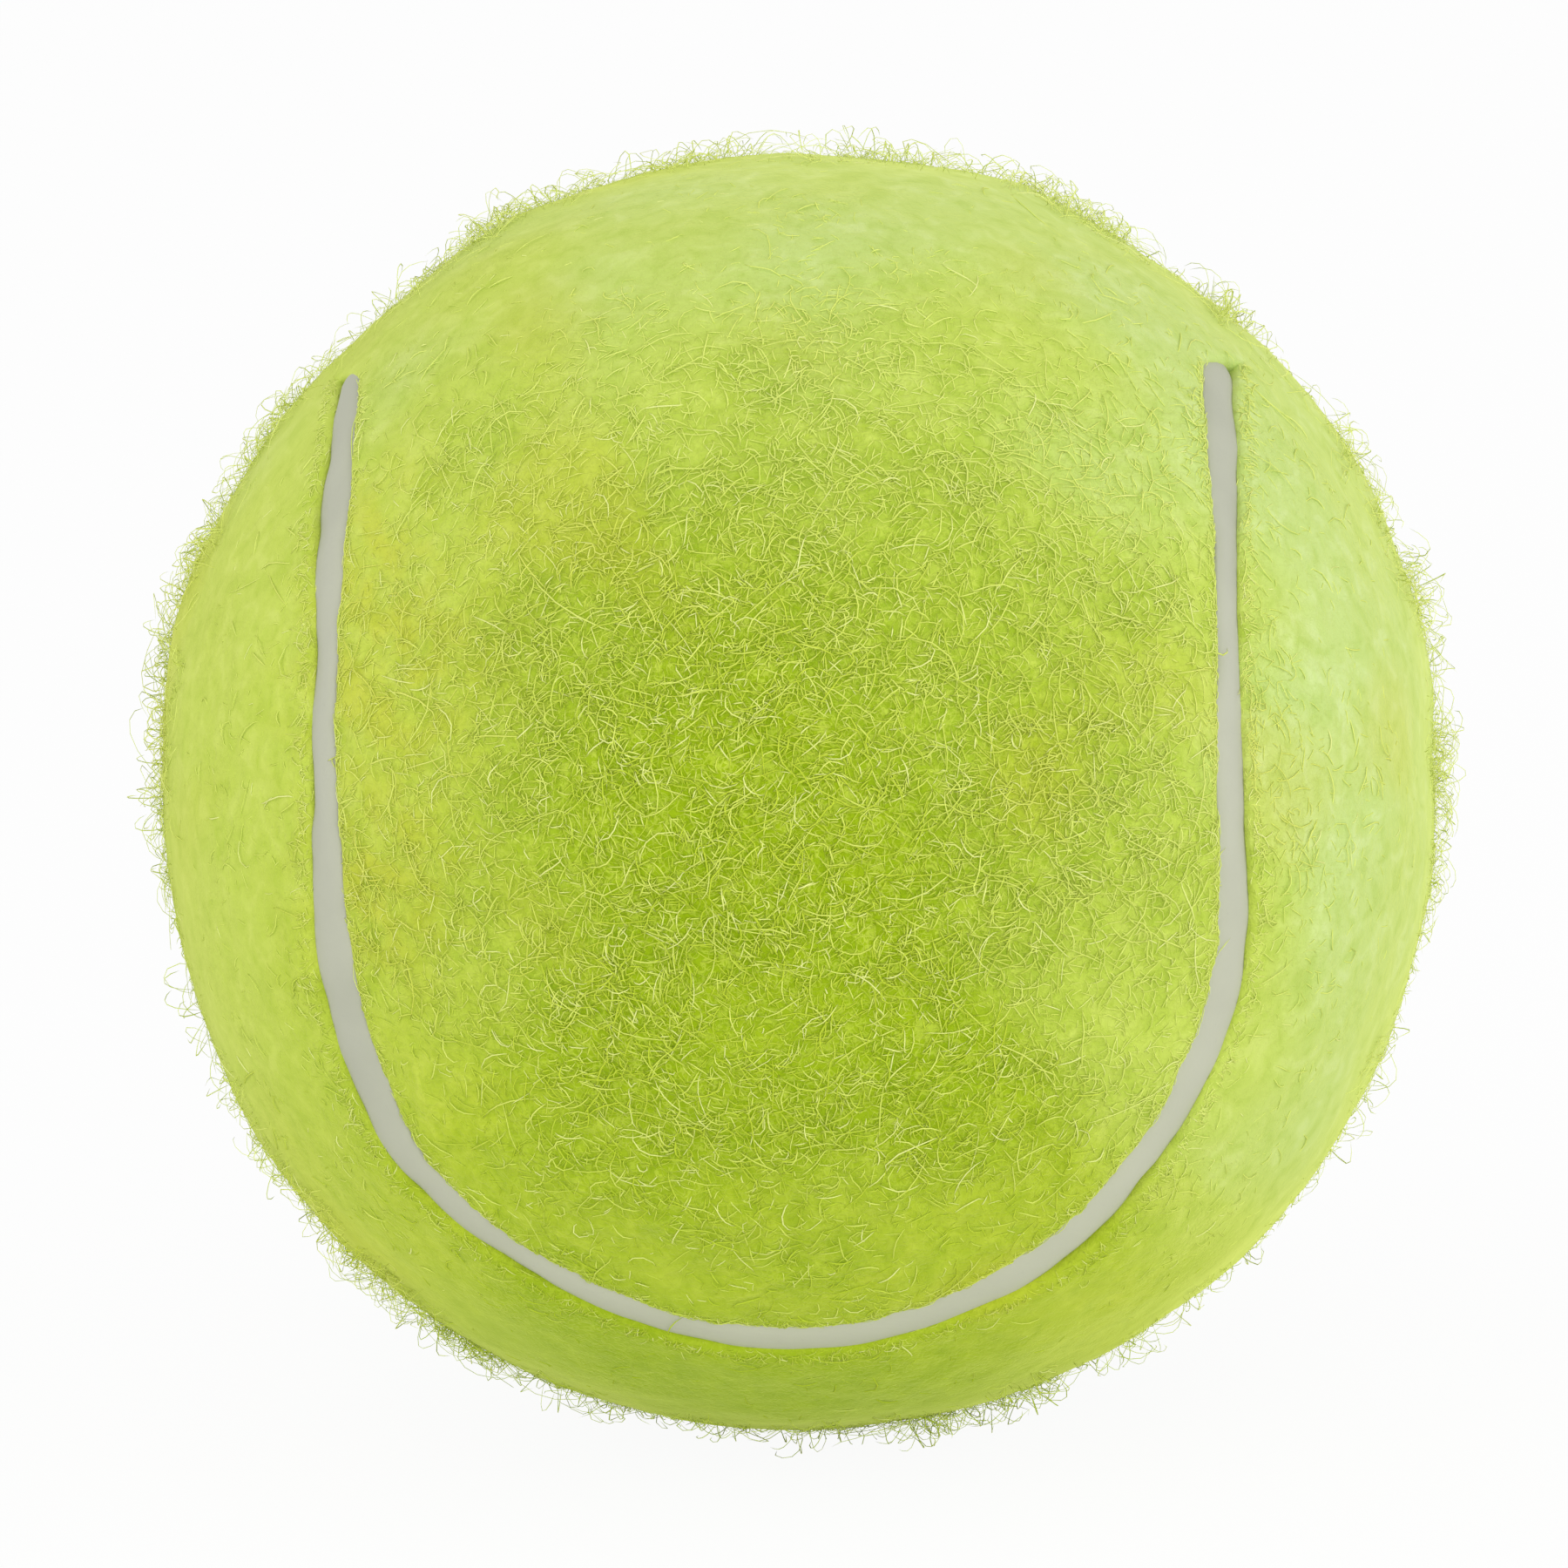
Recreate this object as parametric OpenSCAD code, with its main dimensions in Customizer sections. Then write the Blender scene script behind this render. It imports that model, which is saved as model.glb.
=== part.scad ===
// Tennis ball: a rubber core moulded as two cups, under two felt blanks with one grey seam between them.
// Millimetres. The origin is the ball's centre and +Z is up. One lobe of the seam faces -Y.
// One module and one node for each real piece. The two blanks have the same shape.

/* [Ball] */
// Outer diameter over the mean nap of the felt (a regulation ball is 65.41 to 68.58 mm)
ball_diameter = 67.0; // [65.4:0.1:68.6]

/* [Core] */
// Wall thickness of the moulded cups
cup_wall = 3.4; // [2.8:0.1:4.0]
// Thickness of the cement between the two cup rims
joint_cement_thickness = 0.2; // [0.1:0.05:0.4]
// Radius of the bead of cement that is pressed out of the joint into the hollow of the core
joint_bead_radius = 0.5; // [0.3:0.05:0.8]

/* [Coats] */
// Thickness of the rubber solution on the core
core_coat_thickness = 0.1; // [0.05:0.01:0.2]
// Thickness of the vulcanising coat on the back of each blank
backing_coat_thickness = 0.1; // [0.05:0.01:0.2]

/* [Seam] */
// Width of the grey seam between the felt edges
seam_width = 2.3; // [1.6:0.1:3.0]
// Depth of the seam's two edges below the mean nap
seam_depth = 1.1; // [1.05:0.05:1.4]
// Rise of the seam's rounded middle above its edges
seam_crown = 0.25; // [0.1:0.05:0.35]

/* [Felt] */
// Thickness of the felt, from its backing coat to the mean nap
felt_thickness = 3.3; // [2.8:0.1:3.8]
// Radius of the felt's rolled-over top edge beside the seam
felt_edge_radius = 0.9; // [0.6:0.05:1.0]

/* [Hidden] */
$fn = 96;
quarter_turn = 90;
half_turn = 180;
diagonal = [1, -1, 0];
half_share = 1 / 2;

// From the outside in, each layer takes its place from the one that lies over it. The core is 60 mm across.
ball_radius = ball_diameter * half_share;
backing_radius = ball_radius - felt_thickness;
coat_radius = backing_radius - backing_coat_thickness;
core_radius = coat_radius - core_coat_thickness;
hollow_radius = core_radius - cup_wall;
seam_edge_radius = ball_radius - seam_depth;
seam_top_radius = seam_edge_radius + seam_crown;

// The seam is four half circles on the ball. Each keeps this angle from its own lobe's level axis,
// which brings neighbouring half circles together on the equator, where they run smoothly on.
lobe_angle = quarter_turn * half_share;

// Half of the gap between the blanks, as an angle at the ball's centre.
half_gap_angle = asin(seam_width * half_share / seam_edge_radius);
inner_edge_angle = lobe_angle - half_gap_angle;
outer_edge_angle = lobe_angle + half_gap_angle;

// The felt's rolled edge is a circle that touches both the outer surface and the cut edge.
roll_centre_radius = ball_radius - felt_edge_radius;
roll_angle = asin(felt_edge_radius / roll_centre_radius);
roll_touch_radius = sqrt(pow(roll_centre_radius, 2) - pow(felt_edge_radius, 2));

// The seam's rounded top is a circle through its two edges and its middle.
crown_half_chord = seam_width * half_share;
crown_rise = seam_top_radius - seam_edge_radius * cos(half_gap_angle);
crown_circle_radius = (pow(crown_half_chord, 2) + pow(crown_rise, 2)) * half_share / crown_rise;
crown_centre_radius = seam_top_radius - crown_circle_radius;

// Far enough out to be clear of the ball in every cut.
reach = ball_diameter;

rubber_black = [0.16, 0.16, 0.17];
cement_amber = [0.62, 0.55, 0.38];
coat_brown = [0.45, 0.40, 0.30];
backing_cream = [0.80, 0.76, 0.62];
felt_yellow = [0.78, 0.86, 0.30];
seam_grey = [0.74, 0.74, 0.70];

// Half a turn about a level diagonal, which puts the first blank on the second.
module turned_over() {
    rotate(a = half_turn, v = diagonal) children();
}

// The same thing at the front and at the back.
module front_and_back() {
    for (turn = [0, half_turn]) rotate([0, 0, turn]) children();
}

// Sweeps a flat section through half a turn below the front lobe's axis, which is its upright edge.
module sweep_under_lobe() {
    rotate([quarter_turn, 0, 0]) rotate(half_turn) rotate_extrude(angle = half_turn) children();
}

// Turns a section over about the middle of the seam, from inside a lobe to outside it.
module across_seam() {
    mirror([1, -1]) children();
}

// A flat wedge from the lobe's axis to this angle.
module wedge(edge_angle) {
    polygon([[0, 0], [0, reach], [reach * sin(edge_angle), reach * cos(edge_angle)]]);
}

// The flat section of a layer, from the lobe's axis to a square cut edge.
module square_section(inner_radius, outer_radius, edge_angle) {
    intersection() {
        difference() {
            circle(r = outer_radius);
            circle(r = inner_radius);
        }
        wedge(edge_angle);
    }
}

// The flat section of the felt, from the lobe's axis to its rolled edge.
module felt_section() {
    square_section(backing_radius, ball_radius, inner_edge_angle - roll_angle);
    square_section(backing_radius, roll_touch_radius, inner_edge_angle);
    rotate(roll_angle - inner_edge_angle) translate([0, roll_centre_radius]) circle(r = felt_edge_radius);
}

// The flat section of the coat behind the felt, cut with it.
module backing_section() {
    square_section(coat_radius, backing_radius, inner_edge_angle);
}

// The flat section of the seam, with a flat foot on the coated core and a rounded top.
module seam_section() {
    intersection() {
        rotate(-lobe_angle) difference() {
            translate([0, crown_centre_radius]) circle(r = crown_circle_radius);
            translate([-reach, coat_radius - reach]) square([reach + reach, reach]);
        }
        difference() {
            wedge(outer_edge_angle);
            wedge(inner_edge_angle);
        }
    }
}

// What lies outside the felt's rolled edge on the waist side, from the other blank's lobe axis.
module clear_of_felt() {
    difference() {
        wedge(outer_edge_angle + roll_angle);
        across_seam() felt_section();
        across_seam() square_section(hollow_radius, seam_edge_radius, inner_edge_angle);
    }
}

// Half of a hollow ball above the equator, cut away round both lobes of the other blank.
module waist(inner_radius, outer_radius) {
    intersection() {
        difference() {
            hollow_ball(inner_radius, outer_radius);
            turned_over() front_and_back() rotate([quarter_turn, 0, 0]) rotate_extrude() children();
        }
        translate([-reach, -reach, 0]) cube([reach + reach, reach + reach, reach]);
    }
}

// One felt blank laid on the ball: the waist over the top, and a round lobe at the front and the back.
module felt_blank() {
    waist(backing_radius, ball_radius) clear_of_felt();
    front_and_back() sweep_under_lobe() felt_section();
}

// The coat on the back of one blank.
module backing_blank() {
    waist(coat_radius, backing_radius) wedge(outer_edge_angle);
    front_and_back() sweep_under_lobe() backing_section();
}

// The two half circles of the seam round the lobes of one blank.
module seam_pair() {
    front_and_back() sweep_under_lobe() seam_section();
}

// A hollow ball between two radii.
module hollow_ball(inner_radius, outer_radius) {
    difference() {
        sphere(r = outer_radius);
        sphere(r = inner_radius);
    }
}

// Half of the core below the equator, less half of the cement's thickness.
module cup() {
    difference() {
        hollow_ball(hollow_radius, core_radius);
        translate([-reach, -reach, -joint_cement_thickness * half_share])
            cube([reach + reach, reach + reach, reach]);
    }
}

module core_cup_lower() {
    color(rubber_black) cup();
}

module core_cup_upper() {
    color(rubber_black) turned_over() cup();
}

// The cement between the rims, from the middle of its bead out to the core's surface.
module core_joint_cement() {
    color(cement_amber) rotate_extrude() {
        intersection() {
            difference() {
                circle(r = core_radius);
                circle(r = hollow_radius - joint_bead_radius * half_share);
            }
            translate([0, -joint_cement_thickness * half_share]) square([reach, joint_cement_thickness]);
        }
        intersection() {
            circle(r = hollow_radius);
            translate([hollow_radius, 0]) circle(r = joint_bead_radius);
        }
    }
}

module core_cement_coat() {
    color(coat_brown) hollow_ball(core_radius, coat_radius);
}

module panel_a_backing_coat() {
    color(backing_cream) backing_blank();
}

module panel_b_backing_coat() {
    color(backing_cream) turned_over() backing_blank();
}

module felt_panel_a() {
    color(felt_yellow) felt_blank();
}

module felt_panel_b() {
    color(felt_yellow) turned_over() felt_blank();
}

module seam_bead() {
    color(seam_grey) {
        seam_pair();
        turned_over() seam_pair();
    }
}

core_cup_lower();
core_cup_upper();
core_joint_cement();
core_cement_coat();
panel_a_backing_coat();
panel_b_backing_coat();
felt_panel_a();
felt_panel_b();
seam_bead();
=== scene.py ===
import math

import bpy
import numpy as np
from mathutils import Matrix, Vector


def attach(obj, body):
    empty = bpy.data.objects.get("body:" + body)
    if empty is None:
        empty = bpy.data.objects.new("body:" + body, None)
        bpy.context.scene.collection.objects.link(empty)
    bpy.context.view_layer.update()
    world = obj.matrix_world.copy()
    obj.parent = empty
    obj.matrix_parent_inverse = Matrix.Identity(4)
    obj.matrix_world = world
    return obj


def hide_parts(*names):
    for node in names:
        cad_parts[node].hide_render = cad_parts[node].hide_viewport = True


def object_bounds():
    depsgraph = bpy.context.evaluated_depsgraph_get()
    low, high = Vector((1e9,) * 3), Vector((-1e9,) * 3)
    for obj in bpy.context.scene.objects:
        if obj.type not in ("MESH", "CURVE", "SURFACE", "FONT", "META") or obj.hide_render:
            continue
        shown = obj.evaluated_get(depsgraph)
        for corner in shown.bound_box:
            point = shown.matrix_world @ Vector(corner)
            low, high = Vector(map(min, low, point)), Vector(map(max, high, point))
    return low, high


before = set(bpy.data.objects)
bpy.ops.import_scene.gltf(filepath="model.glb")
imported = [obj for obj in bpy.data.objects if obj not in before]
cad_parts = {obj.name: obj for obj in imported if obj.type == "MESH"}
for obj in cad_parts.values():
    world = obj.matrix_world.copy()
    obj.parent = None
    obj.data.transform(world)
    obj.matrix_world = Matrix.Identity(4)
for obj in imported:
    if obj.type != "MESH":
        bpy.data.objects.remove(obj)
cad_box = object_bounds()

# The core: two cups of black rubber, moulded hot in pairs and left with a dull, slightly clouded skin.
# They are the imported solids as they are, with the fine flow marks and grey bloom of moulded rubber.
mm = 0.001


class Level:
    """A value that changes over a surface: one output of a finish's nodes, ready for sums and products."""

    def __init__(self, finish, socket):
        self.finish, self.socket = finish, socket

    def combined(self, operation, *values):
        return self.finish.node("ShaderNodeMath", {"operation": operation}, dict(enumerate(values)))

    def __add__(self, other):
        return self.combined("ADD", self, other)

    __radd__ = __add__

    def __sub__(self, other):
        return self.combined("SUBTRACT", self, other)

    def __rsub__(self, other):
        return self.combined("SUBTRACT", other, self)

    def __mul__(self, other):
        return self.combined("MULTIPLY", self, other)

    __rmul__ = __mul__

    def __abs__(self):
        return self.combined("ABSOLUTE", self)


class Finish:
    """The look of one material, or of the world round the object, built node by node."""

    def __init__(self, name, world=False):
        self.owner = (bpy.data.worlds if world else bpy.data.materials).new(name)
        self.owner.use_nodes = True
        self.tree = self.owner.node_tree
        self.tree.nodes.clear()
        self.output = "ShaderNodeOutputWorld" if world else "ShaderNodeOutputMaterial"

    def node(self, kind, settings=None, sockets=None, out=0):
        """Adds a node with these settings and socket values, and gives back one of its outputs."""
        made = self.tree.nodes.new(kind)
        for name, value in (settings or {}).items():
            setattr(made, name, value)
        for name, value in (sockets or {}).items():
            if isinstance(value, Level):
                self.tree.links.new(value.socket, made.inputs[name])
            else:
                made.inputs[name].default_value = value
        return Level(self, made.outputs[out]) if made.outputs else None

    def stored(self, name):
        """A number that is stored on the piece's points."""
        return self.node("ShaderNodeAttribute", {"attribute_name": name}, out="Fac")

    def place(self, shift=(0, 0, 0), scale=(1 / mm,) * 3):
        """The point on the piece, in millimetres unless scaled otherwise, for a pattern to follow."""
        point = self.node("ShaderNodeTexCoord", out="Object")
        return self.node("ShaderNodeMapping", {}, {"Vector": point, "Scale": scale, "Location": shift})

    def clouds(self, size, detail=2.0, shift=(0, 0, 0), roughness=0.5, distortion=0.0):
        """Soft noise about 0.5, with blots about this many millimetres across."""
        return self.node("ShaderNodeTexNoise", {}, {
            "Vector": self.place(shift), "Scale": 1 / size, "Detail": detail,
            "Roughness": roughness, "Distortion": distortion})

    def ramp(self, level, low, high, to_low=0.0, to_high=1.0):
        """Carries the level smoothly from to_low to to_high while it goes from low to high."""
        return self.node("ShaderNodeMapRange", {"interpolation_type": "SMOOTHSTEP"}, {
            "Value": level, "From Min": low, "From Max": high, "To Min": to_low, "To Max": to_high})

    def tint(self, factor, first, second, blend="MIX"):
        """The first colour, turned into the second or blended with it by a factor."""
        first, second = (c if isinstance(c, Level) else (*c, 1.0) for c in (first, second))
        # A colour mix takes its factor and colours on sockets 0, 6 and 7, and gives the result on output 2.
        return self.node("ShaderNodeMix", {"data_type": "RGBA", "blend_type": blend},
                         {0: factor, 6: first, 7: second}, 2)

    def surface(self, colour, height=None, bump_strength=0.5, bump_depth=0.1 * mm, **sockets):
        """Closes the finish with a surface of this colour, with bumps and with other sockets by name."""
        named = {"Base Color": colour}
        for name, value in sockets.items():
            named[name.replace("_", " ").title().replace("Ior", "IOR")] = value
        if height is not None:
            named["Normal"] = self.node("ShaderNodeBump", {}, {
                "Strength": bump_strength, "Distance": bump_depth, "Height": height})
        self.close(self.node("ShaderNodeBsdfPrincipled", {}, named))

    def close(self, shader):
        """Ends the finish with this shader."""
        self.node(self.output, {}, {"Surface": shader})


def dress(piece, finish):
    """Gives a piece one material."""
    piece.data.materials.clear()
    piece.data.materials.append(finish.owner)


core_rubber = Finish("core_rubber")
bloom = core_rubber.clouds(6.0, detail=3.0)
flow = core_rubber.clouds(0.6, detail=4.0, distortion=1.2)
core_rubber.surface(
    core_rubber.tint(core_rubber.ramp(bloom, 0.42, 0.66), (0.030, 0.030, 0.033), (0.060, 0.060, 0.064)),
    height=flow, bump_strength=0.35, bump_depth=0.08 * mm,
    roughness=core_rubber.ramp(bloom, 0.35, 0.7, 0.62, 0.85))
for cup in ("core_cup_lower", "core_cup_upper"):
    dress(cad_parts[cup], core_rubber)

# The cement between the two cup rims: amber rubber solution, pressed out into a small bead inside.
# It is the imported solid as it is, with the uneven gloss of cement that has set.
joint_cement = Finish("joint_cement")
beads = joint_cement.clouds(1.4)
joint_cement.surface(
    joint_cement.tint(beads, (0.24, 0.17, 0.07), (0.42, 0.33, 0.17)),
    height=beads, bump_strength=0.3, bump_depth=0.1 * mm,
    roughness=joint_cement.ramp(beads, 0.3, 0.7, 0.28, 0.5))
dress(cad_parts["core_joint_cement"], joint_cement)

# The coat of rubber solution that is brushed and tumbled on the closed core, for the cover to be laid in.
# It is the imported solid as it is, tacky, with streaks that run round the ball.
core_coat = Finish("core_coat")
streaks = core_coat.node("ShaderNodeTexNoise", {}, {
    "Vector": core_coat.place(scale=(250.0, 250.0, 1400.0)), "Scale": 1.0, "Detail": 3.0})
core_coat.surface(
    core_coat.tint(streaks, (0.13, 0.10, 0.06), (0.27, 0.22, 0.14)),
    height=streaks, bump_strength=0.25, bump_depth=0.05 * mm,
    roughness=core_coat.ramp(streaks, 0.3, 0.7, 0.35, 0.6))
dress(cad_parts["core_cement_coat"], core_coat)

# The vulcanising coat on the back of each felt blank: a cream rubber film that shows the print
# of the felt's woven back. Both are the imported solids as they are.
backing_coat = Finish("backing_coat")
warp, weft = (backing_coat.node("ShaderNodeTexWave", {"bands_direction": way}, {
    "Vector": backing_coat.place(), "Scale": 0.55, "Distortion": 1.5, "Detail": 1.0}, "Fac") for way in "XZ")
stain = backing_coat.clouds(5.0)
backing_coat.surface(
    backing_coat.tint(stain, (0.50, 0.44, 0.27), (0.68, 0.62, 0.43)),
    height=warp * 0.5 + weft * 0.5, bump_strength=0.3, bump_depth=0.06 * mm,
    roughness=backing_coat.ramp(stain, 0.3, 0.7, 0.45, 0.65))
for coat in ("panel_a_backing_coat", "panel_b_backing_coat"):
    dress(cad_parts[coat], backing_coat)

# The felt blanks: needled wool and nylon cloth on a woven back, cut to shape and pressed round the core.
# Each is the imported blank's shape as one closed sheet, its seam edge wandering a little as it was laid,
# its face raised in soft lumps. Places on it are given as ways: directions from the ball's centre.
BALL_RADIUS = (cad_box[1].z - cad_box[0].z) / 2
FELT_RADIUS = BALL_RADIUS - 0.16 * mm
FELT_VOXEL = 0.46 * mm
# The seam's loop is four half circles, each at this angle round its own lobe's axis. A place along the loop
# is a number from 0 to 4, whose whole part is the lobe.
LOBE_AXES = np.array([(0, -1, 0), (1, 0, 0), (0, 1, 0), (-1, 0, 0)], float)
LOBE_ANGLE = math.radians(45)
SEAM_CIRCLE_RADIUS = BALL_RADIUS * math.sin(LOBE_ANGLE)
# How the seam runs along its loop: the place, the shift towards the second blank in degrees, and the width
# as a share of the usual one. The shift and the width die away beside the seam over these angles.
SEAM_COURSE = [
    (0.00, -0.9, 1.10), (0.06, -1.2, 1.20), (0.15, -0.2, 1.30), (0.20, 0.7, 1.15), (0.25, -0.5, 1.00),
    (0.35, -1.4, 0.90), (0.45, -0.7, 0.95), (0.55, -0.5, 0.90), (0.63, -0.9, 0.95), (0.70, -0.6, 1.30),
    (0.77, -1.1, 1.00), (0.85, -1.2, 1.00), (0.95, -0.4, 1.00), (1.05, -0.5, 0.85), (1.12, -0.7, 0.65),
    (1.25, -0.8, 0.65), (1.35, -1.6, 1.00), (1.40, -2.1, 0.90), (1.47, -1.8, 0.75), (1.66, 0.1, 0.80),
    (1.95, -0.2, 1.20), (2.25, 0.4, 0.85), (2.65, -0.3, 1.15), (2.95, 0.3, 0.80), (3.25, 0.2, 1.15),
    (3.40, -0.2, 1.00), (3.52, -2.2, 0.70), (3.60, -2.4, 0.70), (3.65, -2.4, 0.85), (3.70, -1.5, 1.15),
    (3.80, -1.2, 0.80), (3.90, -0.5, 0.80)]
WANDER_REACH = math.radians(9)
WIDTH_REACH = math.radians(7)
# Two stretches of the loop where the first blank's nap is matted over the seam and hides it. Their ends
# slant across the seam, and their blocks reach from a foot inside the felt nearly to the ball's radius.
LAPS = [(1.430, 1.64), (3.38, 3.571)]
LAP_SLANT = 0.028
LAP_HALF_WIDTH = 2.05 * mm
LAP_TOP_RADIUS = BALL_RADIUS - 0.04 * mm
LAP_FOOT_RADIUS = BALL_RADIUS - 1.5 * mm
LAP_END_LENGTH = 1.0 * mm
LAP_END_DROP = 0.9 * mm
LAP_CLEARANCE = 3 * mm
# Yellower blots in the dye: the direction from the ball's centre, and the radius in millimetres.
YELLOW_BLOTS = [(-0.594, -0.712, 0.374, 7.0), (-0.612, -0.787, 0.078, 6.0), (-0.625, -0.591, 0.510, 5.5),
                (0.52, 0.61, -0.60, 5.0)]
# Right, up and forward where the first lobe faces the viewer. The nap was teased up there and on the
# far half of the ball, and lies nearly flat in the ring between. Angles round the ring go from the right
# over the top, and angles off it go forward.
FRONT = np.array([(0.99877, 0.04960, -0.00400), (-0.00792, 0.23774, 0.97130), (0.04958, -0.97004, 0.23782)])
# How far the ring's outline stands out or in, in millimetres, at these angles round the ring.
OUTLINE = [(2, -0.25), (8, 0.1), (32, 0.4), (50, -0.15), (56, -0.2), (68, 0.25), (80, -0.15), (104, -0.25),
           (116, 0.05), (128, -0.4), (140, -0.3), (158, 0.25), (164, 0.4), (176, -0.15), (188, -0.2),
           (206, 0.1), (224, 0.15), (266, -0.1), (314, 0.1), (338, -0.15)]
# How much the nap stands up, from 0 to 1, at these angles off the ring.
TEASED = [(-90, 1.0), (-22, 0.85), (-8, 0.35), (6, 0.05), (38, 0.30), (50, 0.56), (62, 0.84), (75, 1.0)]
# Painted light at these angles round the ring about the front: from 1, a painted sheen that pales the cloth
# and fibres, to -1, painted shade that deepens them; pale on the right and over the top, deep at the bottom.
# And how much of either is left at these angles off the ring.
SHEEN_AND_SHADE_ROUND_RING = [(0, 1.0), (45, 0.93), (90, 0.93), (135, 0.75), (180, 0.6), (205, 0.48), (220, 0.2), (228, -0.1),
         (240, -0.9), (270, -1.0), (290, -0.6), (315, 0.75)]
PAINTED_SHEEN_REACH = [(-40, 0), (-5, 1), (30, 1), (52, 0.8), (84, 0.05)]
PAINTED_SHADE_REACH = [(-40, 0), (-5, 1), (16, 1), (42, 0)]


def read_off(pairs, places, period=None):
    """The level at each place, from a list of places and their levels, evenly between them."""
    return np.interp(places, *np.array(pairs).T, period=period)


def drift(points, size, seed):
    """A smooth random level, mostly between -1 and 1, that changes over this distance."""
    rng = np.random.default_rng(seed)
    count = 28
    waves = rng.normal(size=(count, 3))
    lengths = np.linalg.norm(waves, axis=1)[:, None]
    waves *= (rng.uniform(0.5, 1.5, (count, 1)) * 2 * math.pi / size) / lengths
    return np.sin(points @ waves.T + rng.uniform(0, 2 * math.pi, count)).sum(1) / math.sqrt(count / 2)


def seam_place(ways):
    """The place along the seam's loop, the angle from the seam, which is positive on the first blank, and
    the direction across the seam towards the second blank."""
    x, y, z = ways.T
    above = z >= 0
    sign = np.where(above, 1.0, -1.0)
    lobe = np.where(above, np.where(x > 0, 1, 3), np.where(y < 0, 0, 2))
    axis = LOBE_AXES[lobe]
    along = np.clip((ways * axis).sum(1), -1, 1)
    from_axis = np.arccos(along)
    turn = np.arctan2(sign * z, np.where(lobe < 2, -1.0, 1.0) * np.where(above, y, x))
    outward = (ways * along[:, None] - axis) / np.maximum(np.sin(from_axis), 1e-6)[:, None]
    return lobe + turn / math.pi, sign * (from_axis - LOBE_ANGLE), -sign[:, None] * outward


def beside_seam(loop, angle):
    """The way at each place along the loop and angle from its lobe's axis, and the way straight off there."""
    lobe = loop.astype(int)
    turn = (loop - lobe) * math.pi
    below = lobe % 2 == 0
    level = np.where(lobe < 2, -1.0, 1.0) * np.cos(turn)
    away = np.stack([np.where(below, level, 0.0), np.where(below, 0.0, level),
                     np.where(below, -1.0, 1.0) * np.sin(turn)], -1)
    axis, cos, sin = LOBE_AXES[lobe], np.cos(angle)[..., None], np.sin(angle)[..., None]
    return axis * cos + away * sin, away * cos - axis * sin


def wandered(ways):
    """Moves ways near the seam sideways with it, and off it or towards it where its width changes."""
    loop, angle, across = seam_place(ways)
    places, shifts, widths = np.array(SEAM_COURSE).T
    steps = 800
    fine = np.linspace(0, 4, steps + 1)
    soft = np.hanning(15) / np.hanning(15).sum()
    smooth = []
    for level in (shifts, widths):
        thrice = np.tile(np.interp(fine, places, level, period=4)[:-1], 3)
        smooth.append(np.convolve(thrice, soft, "same")[steps:2 * steps + 1])
    shift, width = (np.interp(loop % 4, fine, level) for level in smooth)
    sideways = np.radians(shift) * np.exp(-(angle / WANDER_REACH) ** 2)
    sideways -= angle * (width - 1) * np.exp(-(angle / WIDTH_REACH) ** 2)
    moved = ways + across * sideways[:, None]
    return moved / np.linalg.norm(moved, axis=1)[:, None]


def seam_gap(ways, spill=0.0):
    """How far from the seam's middle, or well clear of it where the nap is matted over the seam."""
    loop, angle, _ = seam_place(ways)
    gap = np.abs(angle) * BALL_RADIUS
    slant = np.clip(angle * BALL_RADIUS / LAP_HALF_WIDTH, -1, 1) * LAP_SLANT + spill
    for first, last in LAPS:
        gap = np.where((loop > first - slant) & (loop < last + slant), np.maximum(gap, LAP_CLEARANCE), gap)
    return gap


def ring_place(ways):
    """The angle round the ring and the angle off it, in degrees."""
    right, up, forward = (ways @ axis for axis in FRONT)
    return np.degrees(np.arctan2(up, right)) % 360, np.degrees(np.arcsin(np.clip(forward, -1, 1)))


def skin_rise(ways):
    """How far the felt's face stands out from its mean radius."""
    points = ways * BALL_RADIUS
    round_ring, off_ring = ring_place(ways)
    calm = 1 - 0.75 * np.exp(-(off_ring / 35) ** 4)
    small = drift(points, 3.2 * mm, 12) * 0.05 + drift(points, 1.4 * mm, 13) * 0.03
    lumps = drift(points, 9 * mm, 11) * 0.06 + small * calm
    outline = read_off(OUTLINE, round_ring, 360) * np.exp(-(off_ring / 16) ** 2)
    return (lumps + outline) * mm


def teased(ways):
    """How much the nap stands up, from 0 to 1, a little more along the seam."""
    level = read_off(TEASED, ring_place(ways)[1])
    level += 0.12 * np.exp(-((seam_gap(ways) - 2.0 * mm) / (1.0 * mm)) ** 2) * (1 - level)
    return np.clip(level + drift(ways * BALL_RADIUS, 8 * mm, 71) * 0.08 * (0.3 + level), 0.02, 1)


def frosted(ways):
    """How much painted sheen pales the cloth and fibres, and below 0 how much painted shade deepens them, with
    some random clouding.
    """
    round_ring, off_ring = ring_place(ways)
    level = read_off(SHEEN_AND_SHADE_ROUND_RING, round_ring, 360)
    level *= np.where(level > 0, read_off(PAINTED_SHEEN_REACH, off_ring), read_off(PAINTED_SHADE_REACH, off_ring))
    cloudy = read_off([(-40, 0.12), (-5, 0.05)], off_ring)
    return np.clip(level + drift(ways * BALL_RADIUS, 15 * mm, 61) * cloudy, -1, 1)


def yellowed(ways):
    """How far the dye has turned towards yellow, from 0 to 1, in blots."""
    points = ways * BALL_RADIUS
    level = np.clip(drift(points, 17 * mm, 91) - 1.1, 0, 1) * 0.5
    ragged = 0.6 + 0.3 * np.clip(drift(points, 2.2 * mm, 92), -1, 1)
    for x, y, z, size in YELLOW_BLOTS:
        off = np.linalg.norm(ways - (x, y, z), axis=1) * BALL_RADIUS / mm / size
        level = np.maximum(level, np.exp(-off ** 2) * ragged)
    return np.clip(level, 0, 1)


def placed(name, data):
    """A new object with this mesh, lamp or camera, in the scene."""
    made = bpy.data.objects.new(name, data)
    bpy.context.scene.collection.objects.link(made)
    return made


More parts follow.
